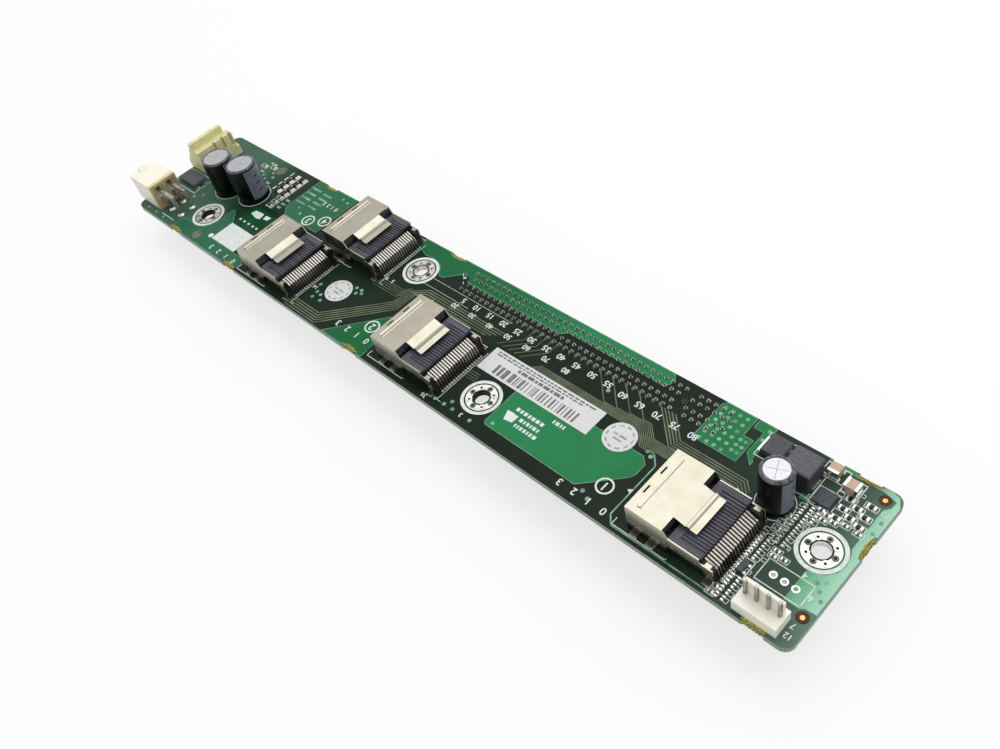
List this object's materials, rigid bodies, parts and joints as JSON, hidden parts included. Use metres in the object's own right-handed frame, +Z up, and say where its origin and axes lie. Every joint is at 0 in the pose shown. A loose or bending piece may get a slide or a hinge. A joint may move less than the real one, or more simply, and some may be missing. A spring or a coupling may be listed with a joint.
{
  "type": "riser card",
  "caption": "Long narrow riser card with an edge-card slot under one long edge, latching multilane cable ports, can capacitors, power headers and plated mounting holes.",
  "frame": {"origin": "axis of the mounting hole nearest the right end, at the board's underside", "axes": "+X along the card to the right end, +Y to the long edge that carries the slot, +Z up out of the populated face"},
  "size_m": [0.2475, 0.042, 0.0256],
  "materials": {
    "solder_mask": "glossy dark green solder mask on glass epoxy",
    "slot_plastic": "satin black moulding",
    "gold_contact": "gold-flashed spring contact",
    "tin_solder": "bright soldered tin",
    "nickel_sheet": "satin nickel-plated sheet",
    "insert_plastic": "satin black moulding",
    "tin_contact": "bright tinned contact",
    "can_aluminium": "satin drawn aluminium",
    "sleeve_film": "glossy shrink film",
    "tin_lead": "bright tinned lead",
    "white_nylon": "satin natural nylon",
    "cream_nylon": "satin cream nylon",
    "tin_pin": "bright tinned pin",
    "choke_powder": "matt pressed iron powder",
    "chip_epoxy": "matt moulded epoxy",
    "tan_ceramic": "fired tan ceramic",
    "resistor_glaze": "black glaze",
    "brown_ceramic": "fired brown ceramic",
    "tin_end": "bright tinned end cap",
    "label_paper": "white paper label"
  },
  "bodies": {
    "root": {"circuit_board": "solder_mask", "slot_housing": "slot_plastic", "slot_contacts": "gold_contact", "slot_tails": "tin_solder", "port_1_cage": "nickel_sheet", "port_1_insert": "insert_plastic", "port_1_contacts": "tin_contact", "port_2_cage": "nickel_sheet", "port_2_insert": "insert_plastic", "port_2_contacts": "tin_contact", "port_3_cage": "nickel_sheet", "port_3_insert": "insert_plastic", "port_3_contacts": "tin_contact", "port_4_cage": "nickel_sheet", "port_4_insert": "insert_plastic", "port_4_contacts": "tin_contact", "right_can_shell": "can_aluminium", "right_can_sleeve": "sleeve_film", "left_can_1_shell": "can_aluminium", "left_can_1_sleeve": "sleeve_film", "left_can_2_shell": "can_aluminium", "left_can_2_sleeve": "sleeve_film", "power_header_housing": "white_nylon", "fan_header_housing": "white_nylon", "lock_header_housing": "cream_nylon", "power_header_pins": "tin_pin", "lock_header_pins": "tin_pin", "fan_header_pins": "tin_pin", "choke_core": "choke_powder", "choke_terminals": "tin_lead", "power_switch_leads": "tin_lead", "regulator_leads": "tin_lead", "transistor_leads": "tin_lead", "power_switch_body": "chip_epoxy", "control_chip_body": "chip_epoxy", "regulator_body": "chip_epoxy", "transistor_body": "chip_epoxy", "ceramic_capacitor_bodies": "tan_ceramic", "sense_resistor_bodies": "resistor_glaze", "chip_resistor_bodies": "resistor_glaze", "chip_capacitor_bodies": "brown_ceramic", "ceramic_capacitor_ends": "tin_end", "sense_resistor_ends": "tin_end", "chip_resistor_ends": "tin_end", "chip_capacitor_ends": "tin_end", "barcode_label": "label_paper"}
  },
  "joints": []
}
